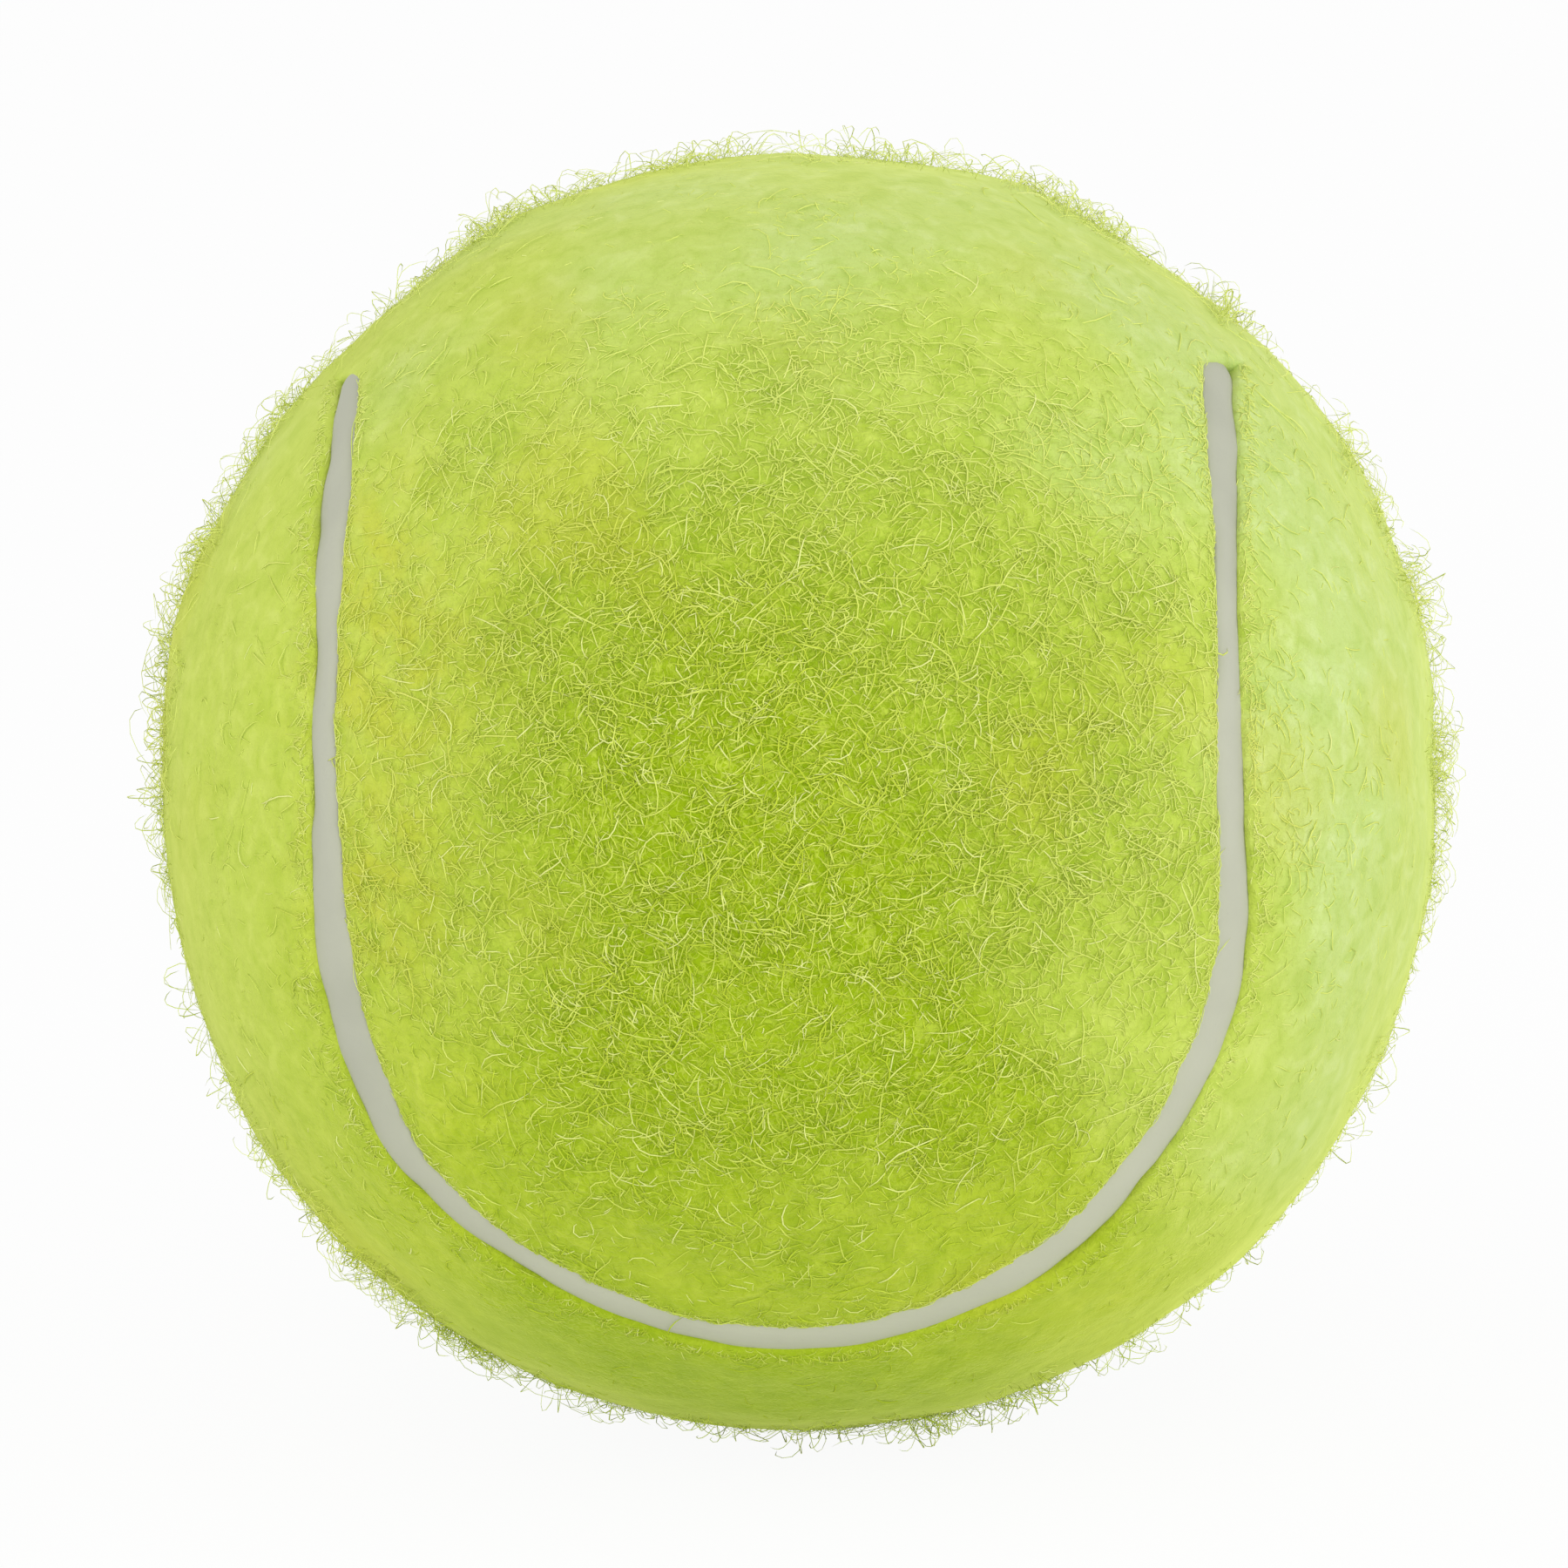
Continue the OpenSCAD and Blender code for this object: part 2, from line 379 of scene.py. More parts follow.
def points_of(piece):
    """A piece's points, one row each."""
    points = np.empty(len(piece.data.vertices) * 3)
    piece.data.vertices.foreach_get("co", points)
    return points.reshape(-1, 3)


def put_points(piece, points):
    """Moves a piece's points to these places."""
    piece.data.vertices.foreach_set("co", points.astype(np.float32).ravel())
    piece.data.update()


def only(piece):
    """Selects one piece and nothing else."""
    bpy.ops.object.select_all(action="DESELECT")
    piece.select_set(True)
    bpy.context.view_layer.objects.active = piece


def edited(piece, *edits):
    """Edits the whole of one piece's mesh by these operators, each with its settings."""
    only(piece)
    bpy.ops.object.mode_set(mode="EDIT")
    for edit, settings in edits:
        bpy.ops.mesh.select_all(action="SELECT")
        edit(**settings)
    bpy.ops.object.mode_set(mode="OBJECT")


def keep_levels(piece, **levels):
    """Stores numbers for each point of a piece, for its finish to read."""
    for name, values in levels.items():
        stored = piece.data.attributes.new(name, "FLOAT", "POINT")
        stored.data.foreach_set("value", values.astype(np.float32))


def add_lap(felt, first, last):
    """Adds the block of matted nap over one stretch of the seam, which the remeshing melts into the blank."""
    sideways = np.linspace(-LAP_HALF_WIDTH, LAP_HALF_WIDTH, 17)
    slant = LAP_SLANT * sideways / LAP_HALF_WIDTH
    share = np.linspace(0, 1, 60)[:, None]
    stations = (first - slant) * (1 - share) + (last + slant) * share
    ways, _ = beside_seam(stations, LOBE_ANGLE + sideways / BALL_RADIUS)
    from_end = np.minimum(stations - stations[0], stations[-1] - stations) * math.pi * SEAM_CIRCLE_RADIUS
    ends = np.clip(1 - from_end / LAP_END_LENGTH, 0, 1)
    top = LAP_TOP_RADIUS - LAP_END_DROP * (1 - np.sqrt(1 - ends ** 2))
    foot = np.full_like(top, LAP_FOOT_RADIUS)
    points = np.concatenate([(ways * radius[..., None]).reshape(-1, 3) for radius in (top, foot)])
    grid = np.arange(top.size).reshape(top.shape)
    quads = np.stack([grid[:-1, :-1], grid[:-1, 1:], grid[1:, 1:], grid[1:, :-1]], 2).reshape(-1, 4)
    rim = np.concatenate([grid[0], grid[1:, -1], grid[-1, -2::-1], grid[-2:0:-1, 0]])
    beyond = np.roll(rim, -1)
    walls = np.stack([rim, top.size + rim, top.size + beyond, beyond], 1)
    mesh = bpy.data.meshes.new("lap")
    mesh.from_pydata(points.tolist(), [], [*quads.tolist(), *(top.size + quads[:, [0, 3, 2, 1]]).tolist(),
                                           *walls.tolist()])
    lap = placed("lap", mesh)
    edited(lap, (bpy.ops.mesh.normals_make_consistent, {"inside": False}))
    only(felt)
    lap.select_set(True)
    bpy.ops.object.join()


def felt_blank(name, node, laps=()):
    """One blank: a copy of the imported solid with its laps, remeshed as one skin and given its nap's form."""
    felt = placed(name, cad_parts[node].data.copy())
    edited(felt, (bpy.ops.mesh.remove_doubles, {"threshold": 0.002 * mm}))
    for first, last in laps:
        add_lap(felt, first, last)
    only(felt)
    remesh = felt.modifiers.new("remesh", "REMESH")
    remesh.mode = "VOXEL"
    remesh.voxel_size = FELT_VOXEL
    bpy.ops.object.modifier_apply(modifier=remesh.name)
    points = points_of(felt)
    radius = np.linalg.norm(points, axis=1)
    ways = points / radius[:, None]
    # The outer face follows the lumps, and the inner one stays on the backing coat.
    above = (radius - BALL_RADIUS) / mm
    outer = np.clip((above + 1.9) / 1.2, 0, 1)
    # The nap fills the rolled edge, so that what lay 0.9 mm under the ball's radius lies 0.32 mm under it.
    above = read_off([(-3.5, -3.5), (-2.5, -2.5), (-0.9, -0.32), (0.0, 0.0), (1.5, 1.5)], above)
    radius = BALL_RADIUS + above * mm + outer * (FELT_RADIUS - BALL_RADIUS + skin_rise(ways))
    put_points(felt, wandered(ways) * radius[:, None])
    keep_levels(felt, from_seam=seam_gap(ways) / mm, teased=teased(ways), yellowed=yellowed(ways),
                frosted=frosted(ways))
    bpy.ops.object.shade_smooth()
    return felt


def strand_lines(finish, size, width, shift):
    """Thin winding lines as of tangled fibres, where a smooth noise crosses its middle."""
    level = finish.clouds(size, detail=1.0, shift=shift, roughness=0.4, distortion=0.8)
    return finish.ramp(abs(level - 0.5), 0.0, width, 1.0, 0.0)


cloth = Finish("felt_cloth")
from_seam, teasing, yellow, frost = map(cloth.stored, ("from_seam", "teased", "yellowed", "frosted"))
tangle = (strand_lines(cloth, 1.2, 0.030, (3, 11, 7)) + strand_lines(cloth, 0.8, 0.045, (40, 5, 23))
          + strand_lines(cloth, 0.55, 0.065, (17, 31, 2)))
pits = cloth.ramp(cloth.clouds(0.48, detail=3.0, roughness=0.65), 0.34, 0.52, 1.0, 0.0)
swell = cloth.clouds(3.2, shift=(9, 9, 9))
broad = cloth.clouds(14.0, shift=(21, 4, 13))
mottle = cloth.clouds(1.5, shift=(5, 17, 29), distortion=0.6)
# The cloth's colour with its crossing strands, and painted shade: deeper low on the ring, between raised nap
# and in the pits.
ground = cloth.tint(cloth.ramp(broad, 0.38, 0.62), (0.440, 0.570, 0.032), (0.480, 0.595, 0.038))
ground = cloth.tint(cloth.ramp(frost, 0.0, -1.0), ground, (0.290, 0.442, 0.002))
ground = cloth.tint(cloth.ramp(teasing, 0.2, 0.9, 0.0, 0.9), ground, (0.315, 0.465, 0.004))
ground = cloth.tint(pits * teasing * 0.6, ground, (0.255, 0.400, 0.002))
ground = cloth.tint(cloth.ramp(tangle, 0.1, 1.0) * (teasing * 0.75 + 0.06), ground, (0.540, 0.680, 0.060))
# Painted sheen, paler and then cooler, the paler part weaker where the nap stands up; more painted shade in
# the pits; then random mottling.
ground = cloth.tint(cloth.ramp(frost, 0.0, 0.75) * (1.0 - teasing * 0.5), ground, (0.570, 0.700, 0.120))
ground = cloth.tint(cloth.ramp(frost, 0.7, 1.0), ground, (0.566, 0.718, 0.238))
ground = cloth.tint(pits * teasing * 0.4, ground, (0.370, 0.520, 0.004))
ground = cloth.tint(cloth.ramp(mottle, 0.50, 0.72), ground, (1.12, 1.08, 1.35), "MULTIPLY")
ground = cloth.tint(cloth.ramp(mottle, 0.50, 0.28), ground, (0.88, 0.92, 0.75), "MULTIPLY")
# The yellower blots, and painted shade on the felt right beside the seam.
ground = cloth.tint(yellow * 0.5, ground, (0.620, 0.590, 0.040))
ground = cloth.tint(cloth.ramp(from_seam, 1.0, 2.2, 0.2, 0.0), ground, (0.400, 0.510, 0.020))
cloth.surface(
    ground, height=(tangle * 0.35 - pits * 0.8) * (teasing * 0.97 + 0.03) + swell * 0.15,
    bump_strength=0.5, bump_depth=0.22 * mm, roughness=0.95, specular_ior_level=0.1,
    sheen_weight=0.74, sheen_roughness=0.45, sheen_tint=(0.92, 1.0, 0.26, 1.0))

blanks = {"a": felt_blank("felt_a", "felt_panel_a", LAPS), "b": felt_blank("felt_b", "felt_panel_b")}
for key, felt in blanks.items():
    dress(felt, cloth)
    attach(felt, "root")
    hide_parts(f"felt_panel_{key}")

# The seam: grey vulcanised rubber from the dipped edges of both blanks, one closed loop of four half
# circles. It stands in a low round ridge between the felt edges and is slightly uneven in width.
SEAM_HALF_WIDTH = 1.25 * mm
SEAM_EDGE_RADIUS = BALL_RADIUS - 0.60 * mm
SEAM_RISE = 0.20 * mm
SEAM_FOOT_RADIUS = BALL_RADIUS - 3.38 * mm
# Under the matted nap it sinks this much deeper, over this length of the loop at either end.
SEAM_BURIAL = 0.7 * mm
BURIAL_LENGTH = 0.04
# How much paler the rubber is, from 0 to 1, at these places along the loop: painted light on the front half
# circle's lower stretch, which faces down, and paler patches elsewhere.
PALE_PATCHES_AND_PAINTED_LIGHT = [(0.1, 0.2), (0.3, 0.8), (0.5, 1.0), (0.75, 0.8), (1.0, 0.3), (1.3, 0.1), (1.8, 0.6), (2.4, 0.2),
         (3.1, 0.7), (3.7, 0.3)]


def seam_loop():
    """One half circle's section is spun half a turn below the front lobe's axis, and copied round."""
    section = []
    top = [(s, SEAM_EDGE_RADIUS + SEAM_RISE * (1 - abs(s) ** 2.4)) for s in np.linspace(-1, 1, 14)]
    foot = [(s, SEAM_FOOT_RADIUS) for s in (1, 0, -1)]
    for sideways, out in top + foot:
        angle = LOBE_ANGLE + SEAM_HALF_WIDTH * sideways / SEAM_EDGE_RADIUS
        section.append((-out * math.sin(angle), -out * math.cos(angle), 0.0))
    mesh = bpy.data.meshes.new("seam")
    count = len(section)
    mesh.from_pydata(section, [(i, (i + 1) % count) for i in range(count)], [])
    seam = placed("seam", mesh)
    half_circle = {"steps": 150, "angle": math.pi, "center": (0, 0, 0), "axis": (0, 1, 0)}
    edited(seam, (bpy.ops.mesh.spin, half_circle))
    if points_of(seam)[:, 2].mean() > 0:
        seam.data.transform(Matrix.Scale(-1, 4, (0, 0, 1)))
    # The other three half circles: the same one turned to the back, and both turned over.
    half_turn = Matrix.Rotation(math.pi, 4, "Z")
    turned_over = Matrix.Rotation(math.pi, 4, Vector((1, -1, 0)))
    parts = []
    for change in (half_turn, turned_over, turned_over @ half_turn):
        part = placed("seam_part", seam.data.copy())
        part.data.transform(change)
        parts.append(part)
    only(seam)
    for part in parts:
        part.select_set(True)
    bpy.ops.object.join()
    edited(seam, (bpy.ops.mesh.remove_doubles, {"threshold": 0.01 * mm}),
           (bpy.ops.mesh.normals_make_consistent, {"inside": False}))
    bpy.ops.object.shade_smooth()
    return seam


seam = seam_loop()
points = points_of(seam)
radius = np.linalg.norm(points, axis=1)
ways = points / radius[:, None]
loop, angle, across = seam_place(ways)
uneven = drift(points, 7 * mm, 5) * 0.10 + drift(points, 2.6 * mm, 6) * 0.05
ways = ways - across * (angle * uneven)[:, None]
ways /= np.linalg.norm(ways, axis=1)[:, None]
# Its top swells a little here and there, and runs on deeper under the matted nap.
top = radius > (SEAM_EDGE_RADIUS + SEAM_FOOT_RADIUS) / 2
radius += top * drift(points, 5 * mm, 7) * 0.03 * mm
for first, last in LAPS:
    inside = np.clip((loop - first) / BURIAL_LENGTH, 0, 1) * np.clip((last - loop) / BURIAL_LENGTH, 0, 1)
    radius -= top * inside * SEAM_BURIAL
put_points(seam, wandered(ways) * radius[:, None])
keep_levels(seam, chalky=read_off(PALE_PATCHES_AND_PAINTED_LIGHT, loop, 4))

seam_rubber = Finish("seam_rubber")
chalk = seam_rubber.clouds(3.5, detail=3.0)
grain = seam_rubber.clouds(0.22, detail=3.0)
grey = seam_rubber.tint(seam_rubber.ramp(chalk, 0.35, 0.68), (0.425, 0.435, 0.345), (0.465, 0.475, 0.380))
# Paler along the loop by the table: painted light low on the front half circle, paler patches elsewhere.
grey = seam_rubber.tint(seam_rubber.stored("chalky"), grey, (0.570, 0.580, 0.450))
grey = seam_rubber.tint(seam_rubber.ramp(grain, 0.62, 0.80, 0.0, 0.2), grey, (0.380, 0.380, 0.320))
seam_rubber.surface(grey, height=grain + chalk * 2, bump_strength=0.2, bump_depth=0.04 * mm,
                    roughness=seam_rubber.ramp(chalk, 0.3, 0.7, 0.55, 0.72))
dress(seam, seam_rubber)
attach(seam, "root")
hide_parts("seam_bead")

# The nap: wool and nylon fibres that needling and fluffing pull out of the cloth. Most lie on it in short
# bows with both ends in the cloth, and the rest stand up in curls and hooks, in tufts here and there.
# Each fibre is a closed three-sided bar with a flattened ridge, rooted a little under the felt's face.
STRAND_SIDES = 3
STRAND_RIDGE = 0.55
ROOT_DEPTH = 0.12 * mm
# The felt begins this far from the seam's middle and rolls over its edge. Few fibres stray onto the seam.
FELT_EDGE = 1.15 * mm
FELT_ROLL = 0.9 * mm
STRAY_SHARE = 0.02


def level_ways(roots):
    """Two directions along the felt at each root, square to each other, that headings are counted from."""
    east = np.cross(roots, (0.31, 0.17, 0.93))
    east /= np.linalg.norm(east, axis=1)[:, None]
    return east, np.cross(roots, east)


def walked(roots, along, heading, length, bend, hook):
    """Follows each fibre over the ball from its root, and gives the way at each share of its length."""
    course = heading[:, None] + bend[:, None] * along + hook[:, None] * along ** 3
    middle = (course[:, 1:] + course[:, :-1]) / 2
    stride = (length / (len(along) - 1))[:, None]
    start = np.zeros((len(roots), 1))
    east_way = np.concatenate([start, np.cumsum(np.cos(middle) * stride, 1)], 1)
    north_way = np.concatenate([start, np.cumsum(np.sin(middle) * stride, 1)], 1)
    east, north = level_ways(roots)
    walk = east[:, None] * east_way[..., None] + north[:, None] * north_way[..., None]
    spots = roots[:, None] + walk / BALL_RADIUS
    return spots / np.linalg.norm(spots, axis=2)[..., None]


def bar_points(path, ways, along, thickness):
    """The points of bars along these paths: rings with the ridge outwards, then the root and the tip."""
    run = np.gradient(path, axis=1)
    run /= np.linalg.norm(run, axis=2)[..., None]
    side = np.cross(run, ways)
    side /= np.linalg.norm(side, axis=2)[..., None] + 1e-12
    top = np.cross(side, run)
    girth = (thickness / 2)[:, None] * (0.45 + 0.55 * np.sin(math.pi * along) ** 0.5)
    corner = np.arange(STRAND_SIDES) * 2 * math.pi / STRAND_SIDES + math.pi / 2
    across = np.cos(corner)[:, None] * side[:, 1:-1, None]
    outward = STRAND_RIDGE * np.sin(corner)[:, None] * top[:, 1:-1, None]
    rings = path[:, 1:-1, None] + girth[:, 1:-1, None, None] * (across + outward)
    return np.concatenate([rings.reshape(len(path), -1, 3), path[:, :1], path[:, -1:]], 1)


def bar_faces(rings):
    """The triangles of one bar, as the numbers of its points."""
    root, tip, last_ring = rings * STRAND_SIDES, rings * STRAND_SIDES + 1, (rings - 1) * STRAND_SIDES
    faces = []
    for i in range(STRAND_SIDES):
        j = (i + 1) % STRAND_SIDES
        faces += [(root, j, i), (tip, last_ring + i, last_ring + j)]
        for ring in range(rings - 1):
            a, b = ring * STRAND_SIDES + i, ring * STRAND_SIDES + j
            faces += [(a, b, b + STRAND_SIDES), (a, b + STRAND_SIDES, a + STRAND_SIDES)]
    return np.array(faces)


def strands(name, roots, steps, seed, lift, tip_lift, thickness, **course):
    """Builds fibres as thin closed bars, each along its own curved path over the ball."""
    rng = np.random.default_rng(seed)
    along = np.linspace(0, 1, steps + 1)
    ways = walked(roots, along, **course)
    from_edge = seam_gap(ways.reshape(-1, 3), 0.008).reshape(ways.shape[:2]) - FELT_EDGE
    keep = (from_edge.min(1) > -0.15 * mm) | (rng.uniform(0, 1, len(roots)) < STRAY_SHARE)
    ways, from_edge, lift, tip_lift, thickness = (
        values[keep] for values in (ways, from_edge, lift, tip_lift, thickness))
    up_roll = FELT_ROLL - np.clip(np.abs(from_edge), 0.06 * mm, FELT_ROLL)
    rolled = (FELT_ROLL - np.sqrt(FELT_ROLL ** 2 - up_roll ** 2)) / 2
    height = -ROOT_DEPTH + lift[:, None] * np.sin(math.pi * along) + tip_lift[:, None] * along ** 2
    rise = skin_rise(ways.reshape(-1, 3)).reshape(height.shape)
    ways = wandered(ways.reshape(-1, 3)).reshape(ways.shape)
    points = bar_points(ways * (FELT_RADIUS + rise + height - rolled)[..., None], ways, along, thickness)
    count, per = points.shape[:2]
    rings = steps - 1
    corners = (bar_faces(rings)[None] + np.arange(count)[:, None, None] * per).ravel()
    mesh = bpy.data.meshes.new(name)
    mesh.vertices.add(count * per)
    mesh.vertices.foreach_set("co", points.astype(np.float32).ravel())
    mesh.loops.add(len(corners))
    mesh.loops.foreach_set("vertex_index", corners.astype(np.int32))
    mesh.polygons.add(len(corners) // 3)
    mesh.polygons.foreach_set("loop_start", np.arange(0, len(corners), 3, dtype=np.int32))
    mesh.update(calc_edges=True)
    mesh.validate()
    nap = placed(name, mesh)
    heights = [np.repeat(height[:, 1:-1], STRAND_SIDES, 1), height[:, :1], height[:, -1:]]
    keep_levels(nap, tone=np.repeat(rng.uniform(0, 1, count), per),
                yellowed=np.repeat(yellowed(ways[:, 0]), per), frosted=np.repeat(frosted(ways[:, 0]), per),
                height=np.concatenate(heights, 1).ravel() / mm)
    # Each fibre has its own cell of a UV map named OFBake.
    grid = math.ceil(math.sqrt(count))
    cell = np.stack([np.arange(count) % grid, np.arange(count) // grid], 1)
    across = np.concatenate([np.tile([0.25, 0.5, 0.75], rings), [0.5, 0.5]])
    share = np.concatenate([np.repeat(along[1:-1], STRAND_SIDES), [0, 1]])
    spread = np.stack([across, 0.12 + 0.76 * share], 1)
    uv = ((cell[:, None] + spread[None]) / grid).reshape(-1, 2)[corners]
    mesh.uv_layers.new(name="OFBake").data.foreach_set("uv", uv.astype(np.float32).ravel())
    return nap


def nap_group(label, ways, steps, seed, **measures):
    """Shares fibres out to the two blanks: the first's to front and back, the second's to left and right."""
    made = []
    angle = seam_place(ways)[1]
    for key, mine, axis in (("a", angle > 0, 1), ("b", angle <= 0, 0)):
        order = np.flatnonzero(mine)
        order = order[np.argsort(ways[order, axis])]
        for number, part in enumerate(np.array_split(order, 2), 1):
            shared = {name: values[part] for name, values in measures.items()}
            piece = strands(f"felt_{key}_{label}_{number}", ways[part], steps, seed + number, **shared)
            made.append((key, piece))
    return made


def scattered(count, seed):
    """Ways spread evenly but not regularly over the ball, off the seam."""
    rng = np.random.default_rng(seed)
    ways = rng.normal(size=(count, 3))
    ways /= np.linalg.norm(ways, axis=1)[:, None]
    return ways[seam_gap(ways) > FELT_EDGE + rng.exponential(0.08 * mm, count)]


def raised(rng, ways, clumping):
    """Thins out ways to where the nap is teased, in clumps, and gives how teased it is at each."""
    level = teased(ways)
    clumped = np.clip(0.75 + 0.32 * drift(ways * BALL_RADIUS, 1.7 * mm, 41), 0.2, 1) ** clumping
    kept = rng.uniform(0, 1, len(ways)) < level * clumped * read_off([(0.1, 0.04), (0.5, 1)], level)
    return ways[kept], level[kept]


def swirled(rng, ways, noise):
    """Headings that swirl over the felt, each fibre lying either way along."""
    swirl = drift(ways * BALL_RADIUS, 5 * mm, 31) * 2.4
    return swirl + rng.normal(0, noise, len(ways)) + math.pi * rng.integers(0, 2, len(ways))


rng = np.random.default_rng(2024)
ways, level = raised(rng, scattered(count=158000, seed=1), clumping=1)
count = len(ways)
nap = nap_group(
    "nap", ways, steps=3, seed=100, heading=swirled(rng, ways, 0.65),
    length=rng.lognormal(math.log(1.15), 0.35, count) * mm,
    bend=rng.normal(0, 0.9, count), hook=rng.normal(0, 0.6, count),
    lift=(0.13 + rng.uniform(0.05, 0.28, count) * level) * mm,
    tip_lift=rng.uniform(-0.10, 0.22, count) * level * mm,
    thickness=rng.uniform(0.065, 0.100, count) * (0.7 + 0.3 * level) * mm)

# Short nap that stands out over the blanks' edges and fills their rolled rims, away from the seam. There is
# none where the nap is matted over the seam, and so no edge.
EDGE_FIBRES = 8000
loop = rng.uniform(0, 4, EDGE_FIBRES)
side = rng.choice((-1.0, 1.0), EDGE_FIBRES)
gap = FELT_EDGE + rng.uniform(0.0, 0.5, EDGE_FIBRES) * mm
ways, outward = beside_seam(loop, LOBE_ANGLE + side * gap / BALL_RADIUS)
east, north = level_ways(ways)
heading = np.arctan2((outward * north).sum(1), (outward * east).sum(1)) + np.where(side < 0, math.pi, 0.0)
open_seam = seam_gap(ways) < LAP_CLEARANCE
ways, heading = ways[open_seam], heading[open_seam]
count = len(ways)
nap += nap_group(
    "edge", ways, steps=3, seed=400, heading=heading + rng.normal(0, 0.9, count),
    length=rng.lognormal(math.log(0.8), 0.3, count) * mm,
    bend=rng.normal(0, 1.0, count), hook=rng.normal(0, 0.6, count),
    lift=rng.uniform(0.10, 0.22, count) * mm, tip_lift=rng.uniform(-0.05, 0.10, count) * mm,
    thickness=rng.uniform(0.050, 0.080, count) * mm)

# Longer fibres that stand up in bows and hooks, where the nap is teased.
ways, level = raised(rng, scattered(count=40000, seed=2), clumping=1.5)
count = len(ways)
nap += nap_group(
    "curls", ways, steps=5, seed=200, heading=swirled(rng, ways, 0.8),
    length=rng.lognormal(math.log(2.1), 0.4, count) * mm,
    bend=rng.normal(0, 1.6, count), hook=rng.normal(0, 1.5, count),
    lift=(0.16 + rng.uniform(0.1, 0.5, count) * level) * mm,
    tip_lift=rng.uniform(-0.15, 0.40, count) * level * mm,
    thickness=rng.uniform(0.060, 0.105, count) * mm)

# Loose fuzz that stands off the ball in tufts. It is this thick at these angles round the ring, in a band
# that reaches this many degrees off it, and thinner on the far half.
FUZZ = [(2, 8), (8, 4), (20, 8), (32, 3), (44, 3), (50, 7), (56, 5), (68, 8), (86, 3), (98, 7), (122, 8),
        (134, 2), (146, 9), (152, 4), (158, 8), (170, 9), (194, 2), (212, 3), (224, 8), (254, 3), (266, 2),
        (278, 9), (296, 7), (308, 2), (320, 4), (344, 2)]
FUZZ_MOST = 9.4
FUZZ_BAND = 12
FUZZ_BEHIND = 0.26
tufts = scattered(count=5200, seed=3)
round_ring, off_ring = ring_place(tufts)
share = np.where(np.abs(off_ring) < FUZZ_BAND, read_off(FUZZ, round_ring, 360) / FUZZ_MOST, 0.0)
share = np.where(off_ring < -FUZZ_BAND, FUZZ_BEHIND, share)
share = share ** 1.4 * np.clip(0.8 + 0.9 * drift(tufts * BALL_RADIUS, 4 * mm, 81), 0.05, 1.6)
tufts = tufts[rng.uniform(0, 1, len(tufts)) < share]
members = np.repeat(np.arange(len(tufts)), rng.integers(4, 13, len(tufts)))
ways = tufts[members] + rng.normal(0, 0.7 * mm / BALL_RADIUS, (len(members), 3))
ways /= np.linalg.norm(ways, axis=1)[:, None]
clear = seam_gap(ways) > 1.3 * mm
tall = rng.uniform(0.35, 1.6, len(tufts))[members][clear]
ways = ways[clear]
count = len(ways)
nap += nap_group(
    "fuzz", ways, steps=6, seed=300, heading=rng.uniform(0, 2 * math.pi, count),
    length=rng.lognormal(math.log(2.2), 0.4, count) * mm,
    bend=rng.normal(0, 2.2, count), hook=rng.normal(0, 2.0, count),
    lift=rng.uniform(0.10, 1.1, count) * tall * mm, tip_lift=rng.uniform(-0.4, 1.1, count) * tall * mm,
    thickness=rng.uniform(0.048, 0.080, count) * mm)

# Fine down in the ring, where the nap lies flat otherwise.
ways = scattered(count=15000, seed=4)
ways = ways[rng.uniform(0, 1, len(ways)) < np.exp(-(ring_place(ways)[1] / 8) ** 4)]
count = len(ways)
nap += nap_group(
    "down", ways, steps=4, seed=500, heading=rng.uniform(0, 2 * math.pi, count),
    length=rng.lognormal(math.log(0.9), 0.4, count) * mm,
    bend=rng.normal(0, 1.5, count), hook=rng.normal(0, 1.0, count),
    lift=rng.uniform(0.12, 0.22, count) * mm, tip_lift=np.abs(rng.normal(0, 0.30, count)) * mm,
    thickness=rng.uniform(0.045, 0.065, count) * mm)


def fibre_finish(name, sheen, sheen_blue):
    """The look of one kind of fibre: lighter or deeper from fibre to fibre, with painted shade at its foot,
    painted sheen and painted shade by the ring's painted light, and a painted highlight on the palest fibres.
    """
    fibre = Finish(name)
    tone, height, yellow, frost = map(fibre.stored, ("tone", "height", "yellowed", "frosted"))
    broad = fibre.clouds(14.0, shift=(21, 4, 13))
    fibre_colour = fibre.tint(fibre.ramp(broad, 0.38, 0.62), (0.555, 0.700, 0.048), (0.585, 0.720, 0.053))
    fibre_colour = fibre.tint(fibre.ramp(tone, 0.2, 1.0), fibre_colour, (0.800, 0.895, 0.200))
    # Painted shade at the fibre's foot, where it lies low by the cloth; less where the painted sheen is
    # strong.
    foot = fibre.ramp(height, -0.1, 0.15, 0.45, 0.0) * fibre.ramp(frost, 0.0, 0.8, 1.0, 0.35)
    fibre_colour = fibre.tint(foot, fibre_colour, (0.420, 0.570, 0.010))
    # Painted sheen pales the fibre, and painted shade deepens it, by the ring's painted light.
    fibre_colour = fibre.tint(fibre.ramp(frost, 0.0, 1.0, 0.0, 0.9), fibre_colour, (0.800, 0.900, 0.250))
    fibre_colour = fibre.tint(fibre.ramp(frost, 0.0, -1.0, 0.0, 0.5), fibre_colour, (0.420, 0.570, 0.012))
    fibre_colour = fibre.tint(yellow * 0.5, fibre_colour, (0.760, 0.720, 0.080))
    # A painted highlight on the palest fibres.
    fibre_colour = fibre.tint(fibre.ramp(tone, 0.86, 1.0, 0.0, 0.7), fibre_colour, (0.920, 0.960, 0.430))
    fibre.surface(fibre_colour, roughness=0.9, specular_ior_level=0.06, sheen_weight=sheen, sheen_roughness=0.5,
                  sheen_tint=(1.0, 1.0, sheen_blue, 1.0))
    return fibre


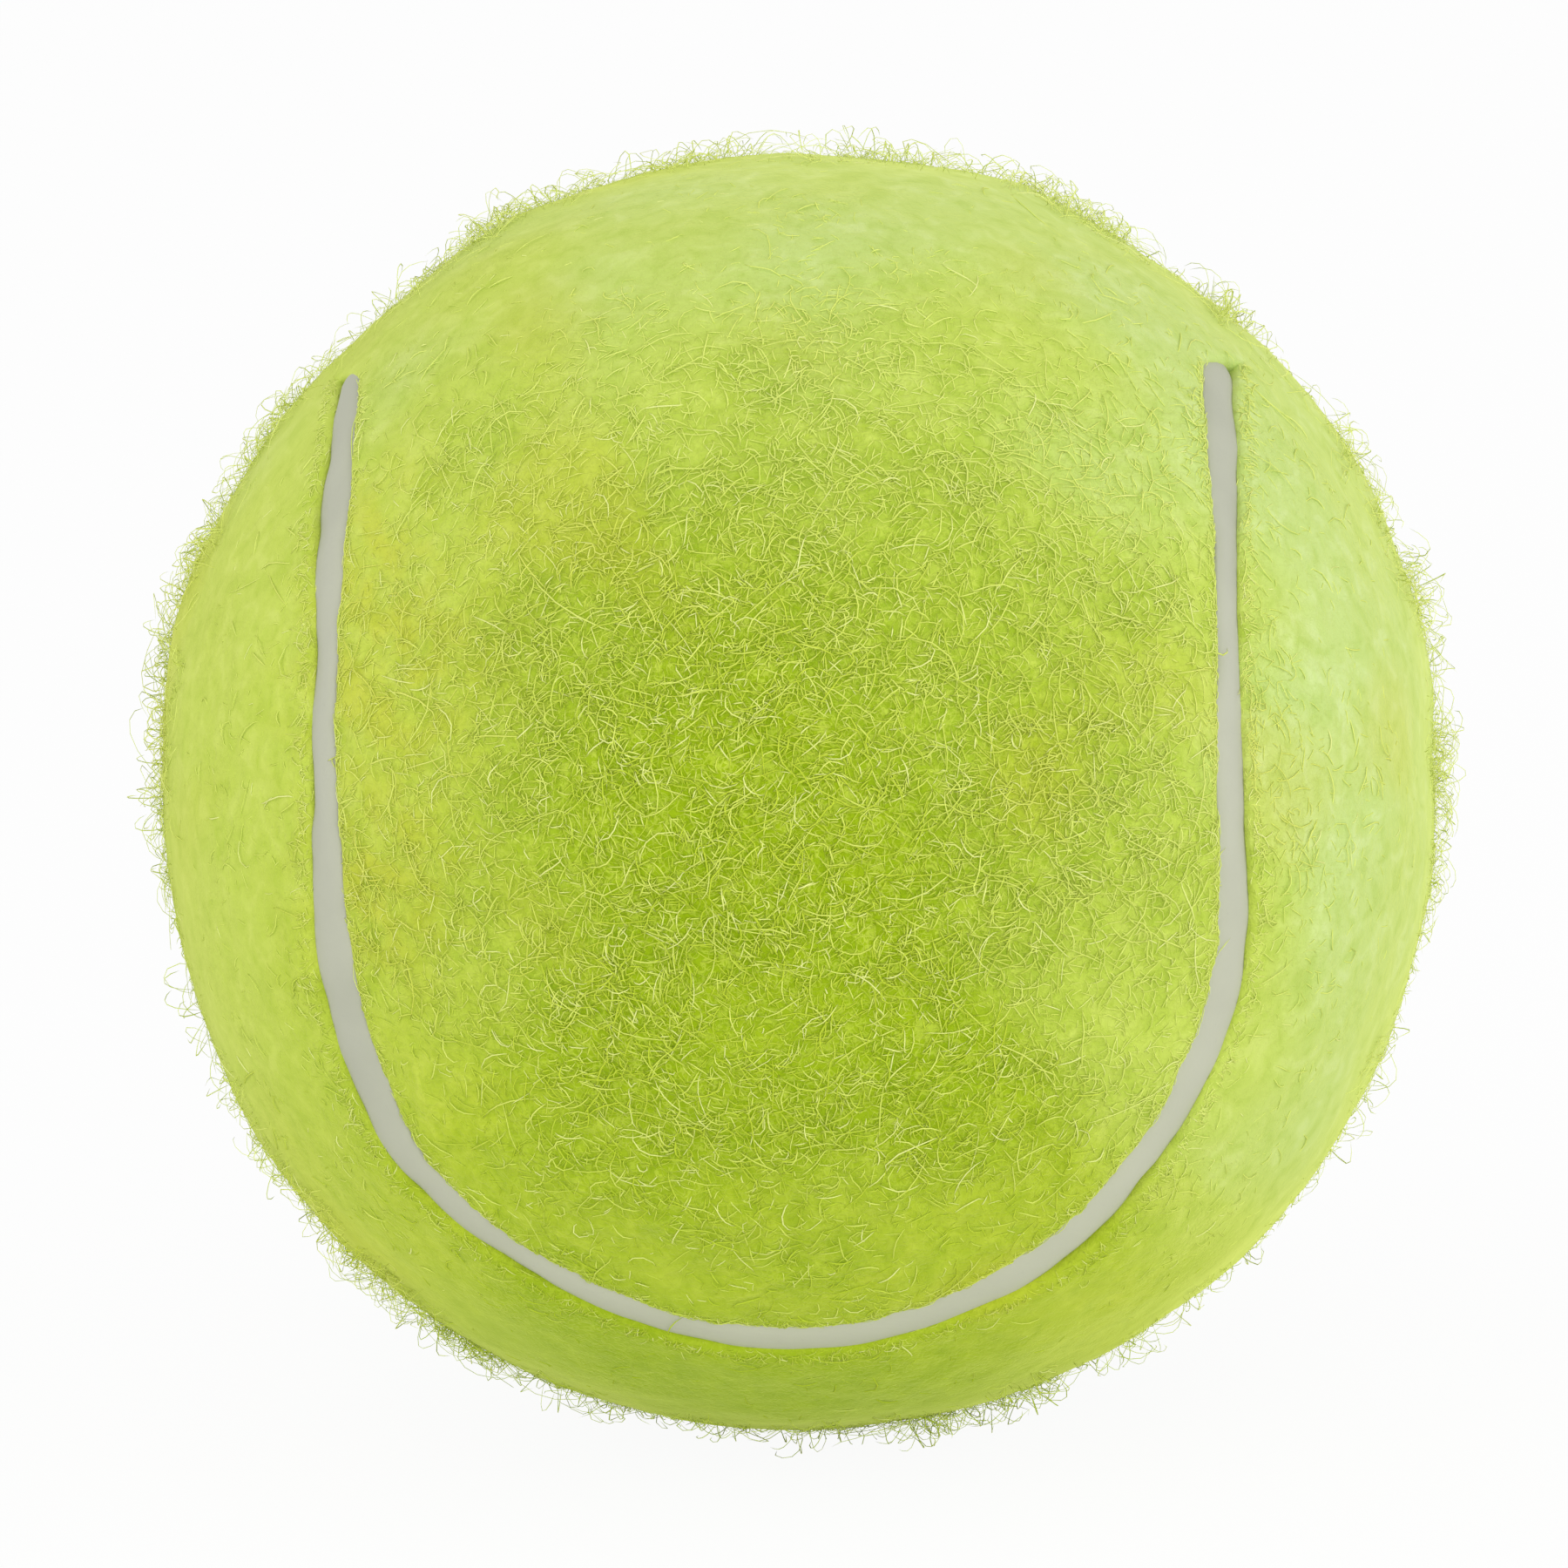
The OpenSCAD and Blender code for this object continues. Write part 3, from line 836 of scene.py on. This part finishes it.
nap_fibre = fibre_finish("nap_fibre", 0.25, 0.15)
loose_fibre = fibre_finish("loose_fibre", 0.7, 0.30)
for key, piece in nap:
    dress(piece, nap_fibre if "nap" in piece.name or "curls" in piece.name else loose_fibre)
    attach(piece, "root")
    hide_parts(f"felt_panel_{key}")
for key, felt in blanks.items():
    [piece for mine, piece in nap if mine == key]

# The studio's floor: a wide sheet of pale paper that the ball rests on. To a lamp's light the paper is pale
# grey, and to the eye it is white with a faint shadow.
WHITE = (1.0, 1.0, 1.0, 1.0)


def seen(finish):
    """1 for a ray from the camera, or one that is mirrored or let through, and 0 for any other."""
    camera_ray, glossy_ray, through_ray = (
        finish.node("ShaderNodeLightPath", out=f"Is {kind} Ray")
        for kind in ("Camera", "Glossy", "Transmission"))
    return finish.ramp(camera_ray + glossy_ray + through_ray, 0.0, 1.0)


bpy.ops.object.select_all(action="DESELECT")
bpy.ops.mesh.primitive_plane_add(size=8.0, location=(0, 0, cad_box[0].z - 0.15 * mm))
floor = bpy.context.object
floor.name = "floor"
paper = Finish("floor_paper")
grey_paper = paper.node("ShaderNodeBsdfDiffuse", {}, {"Color": (0.80, 0.80, 0.80, 1.0)})
white_paper = paper.node("ShaderNodeBsdfDiffuse", {}, {"Color": (0.98, 0.98, 0.98, 1.0)})
glow = paper.node("ShaderNodeEmission", {}, {"Color": WHITE, "Strength": 1.0})
shown = paper.node("ShaderNodeMixShader", {}, {0: 0.94, 1: white_paper, 2: glow})
paper.close(paper.node("ShaderNodeMixShader", {}, {0: seen(paper), 1: grey_paper, 2: shown}))
dress(floor, paper)

# The room: an even soft light from all round, before a white backdrop.
studio = Finish("studio", world=True)
room = studio.node("ShaderNodeBackground", {}, {"Color": WHITE, "Strength": 0.56})
backdrop = studio.node("ShaderNodeBackground", {}, {"Color": WHITE, "Strength": 1.0})
studio.close(studio.node("ShaderNodeMixShader", {}, {0: seen(studio), 1: room, 2: backdrop}))
bpy.context.scene.world = studio.owner


def lamp(name, azimuth, elevation, distance, size, level):
    """A square soft lamp aimed at the ball. A surface that faces it gains this level times its colour."""
    a, e = math.radians(azimuth), math.radians(elevation)
    way = Vector((math.sin(a) * math.cos(e), -math.cos(a) * math.cos(e), math.sin(e)))
    data = bpy.data.lights.new(name, "AREA")
    data.size = size
    data.energy = level * (math.pi * distance) ** 2
    made = placed(name, data)
    made.location = way * distance
    made.rotation_mode = "QUATERNION"
    made.rotation_quaternion = (-way).to_track_quat("-Z", "Y")


lamp("lamp_top", azimuth=10, elevation=60, distance=1.0, size=0.8, level=0.10)
lamp("lamp_right", azimuth=75, elevation=12, distance=1.0, size=0.8, level=0.34)
lamp("lamp_left", azimuth=-70, elevation=15, distance=1.0, size=0.8, level=0.30)
lamp("lamp_front", azimuth=10, elevation=10, distance=1.2, size=0.44, level=0.34)

# The camera looks slightly down at the front lobe of the seam, a little rolled, from about a metre away.
IMAGE_SIDE = 1800
BALL_CENTRE_PIXEL = (918, 908)
PIXELS_PER_TAN = 21531
CAMERA_DISTANCE = 0.978
back = Vector((0.04958, -0.97004, 0.23782)).normalized()
right = Vector((0.01640, 0.23887, 0.97091)).cross(back).normalized()
lens = bpy.data.cameras.new("camera")
lens.sensor_width = 36
lens.lens = lens.sensor_width * PIXELS_PER_TAN / IMAGE_SIDE
lens.shift_x = (IMAGE_SIDE / 2 - BALL_CENTRE_PIXEL[0]) / IMAGE_SIDE
lens.shift_y = (BALL_CENTRE_PIXEL[1] - IMAGE_SIDE / 2) / IMAGE_SIDE
lens.clip_start, lens.clip_end = 0.01, 20
camera = placed("camera", lens)
turn = Matrix((right, back.cross(right), back)).transposed().to_4x4()
camera.matrix_world = Matrix.Translation(back * CAMERA_DISTANCE) @ turn
bpy.context.scene.camera = camera
bpy.context.scene.view_settings.view_transform = "Standard"
